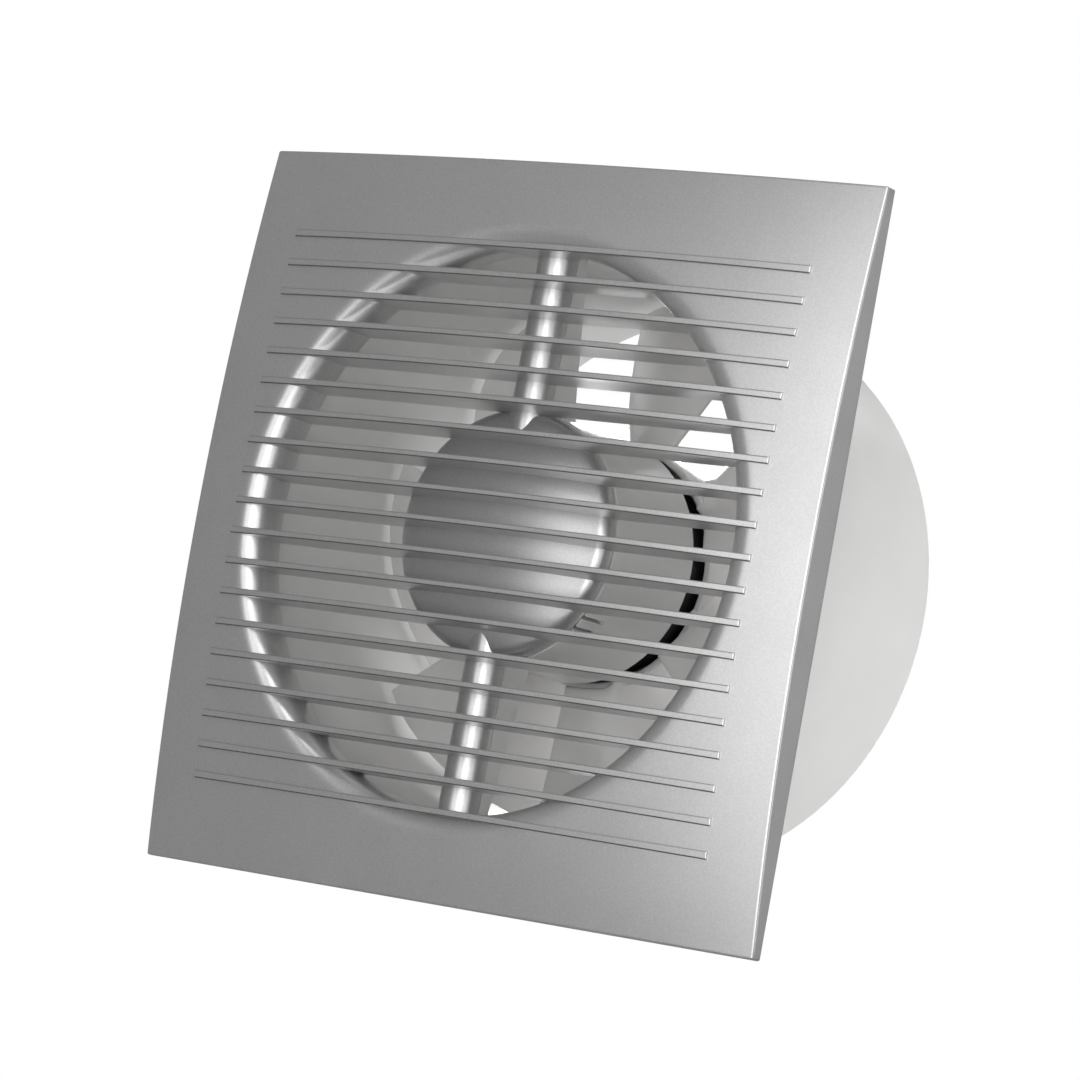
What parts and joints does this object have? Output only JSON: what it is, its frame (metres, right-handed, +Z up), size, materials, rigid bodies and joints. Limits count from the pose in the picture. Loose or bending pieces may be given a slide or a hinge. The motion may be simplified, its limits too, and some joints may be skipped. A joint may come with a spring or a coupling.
{
  "type": "bathroom extractor fan",
  "caption": "Square silver bathroom extractor fan with level slats over a round opening, an axial impeller and a white round spigot for a wall duct.",
  "frame": {"origin": "on the fan's axis, in the plane where the back plate lies on the wall", "axes": "+X to the right as one faces the panel, +Y along the fan's axis into the duct, +Z up"},
  "size_m": [0.15, 0.0793, 0.15],
  "materials": {
    "front_grille": "satin silver paint on a plastic moulding",
    "base_housing": "plain white moulding",
    "impeller": "plain white moulding",
    "motor_rear_cap": "black moulding",
    "chamber_cap": "white moulding",
    "terminal_block": "natural nylon",
    "terminal_clamps": "plain brass",
    "terminal_screws": "zinc plated",
    "block_screw": "zinc plated",
    "cord_clamp": "white moulding",
    "cord_clamp_screws": "zinc plated",
    "cable_grommet": "soft black rubber",
    "lead_live": "brown insulation",
    "lead_neutral": "blue insulation",
    "stator_core": "stacked laminations",
    "shading_rings": "bare copper",
    "coil_bobbin": "natural nylon",
    "coil_winding": "enamelled copper wire under tape",
    "front_bracket": "die cast",
    "rear_bracket": "die cast",
    "front_bearing": "sintered bronze",
    "rear_bearing": "sintered bronze",
    "motor_screws": "zinc plated",
    "rotor_core": "stacked laminations, ground outside",
    "rotor_cage": "cast",
    "shaft": "ground steel",
    "thrust_washers": "dark nylon",
    "impeller_clip": "spring steel"
  },
  "bodies": {
    "base": {"base_housing": "base_housing", "motor_rear_cap": "motor_rear_cap", "chamber_cap": "chamber_cap", "terminal_block": "terminal_block", "terminal_clamps": "terminal_clamps", "terminal_screws": "terminal_screws", "block_screw": "block_screw", "cord_clamp": "cord_clamp", "cord_clamp_screws": "cord_clamp_screws", "cable_grommet": "cable_grommet", "lead_live": "lead_live", "lead_neutral": "lead_neutral", "stator_core": "stator_core", "shading_rings": "shading_rings", "coil_bobbin": "coil_bobbin", "coil_winding": "coil_winding", "front_bracket": "front_bracket", "rear_bracket": "rear_bracket", "front_bearing": "front_bearing", "rear_bearing": "rear_bearing", "motor_screws": "motor_screws"},
    "rotor": {"rotor_core": "rotor_core", "rotor_cage": "rotor_cage", "shaft": "shaft", "thrust_washers": "thrust_washers", "impeller": "impeller", "impeller_clip": "impeller_clip"},
    "cover": {"front_grille": "front_grille"}
  },
  "joints": [
    {"name": "rotor_spin", "type": "hinge", "parent": "base", "child": "rotor", "pos_m": [0, 0.042, 0], "axis": [0, 1, 0], "continuous": true},
    {"name": "cover_pull", "type": "slide", "parent": "base", "child": "cover", "axis": [0, -1, 0], "range_m": [0, 0.04]}
  ]
}
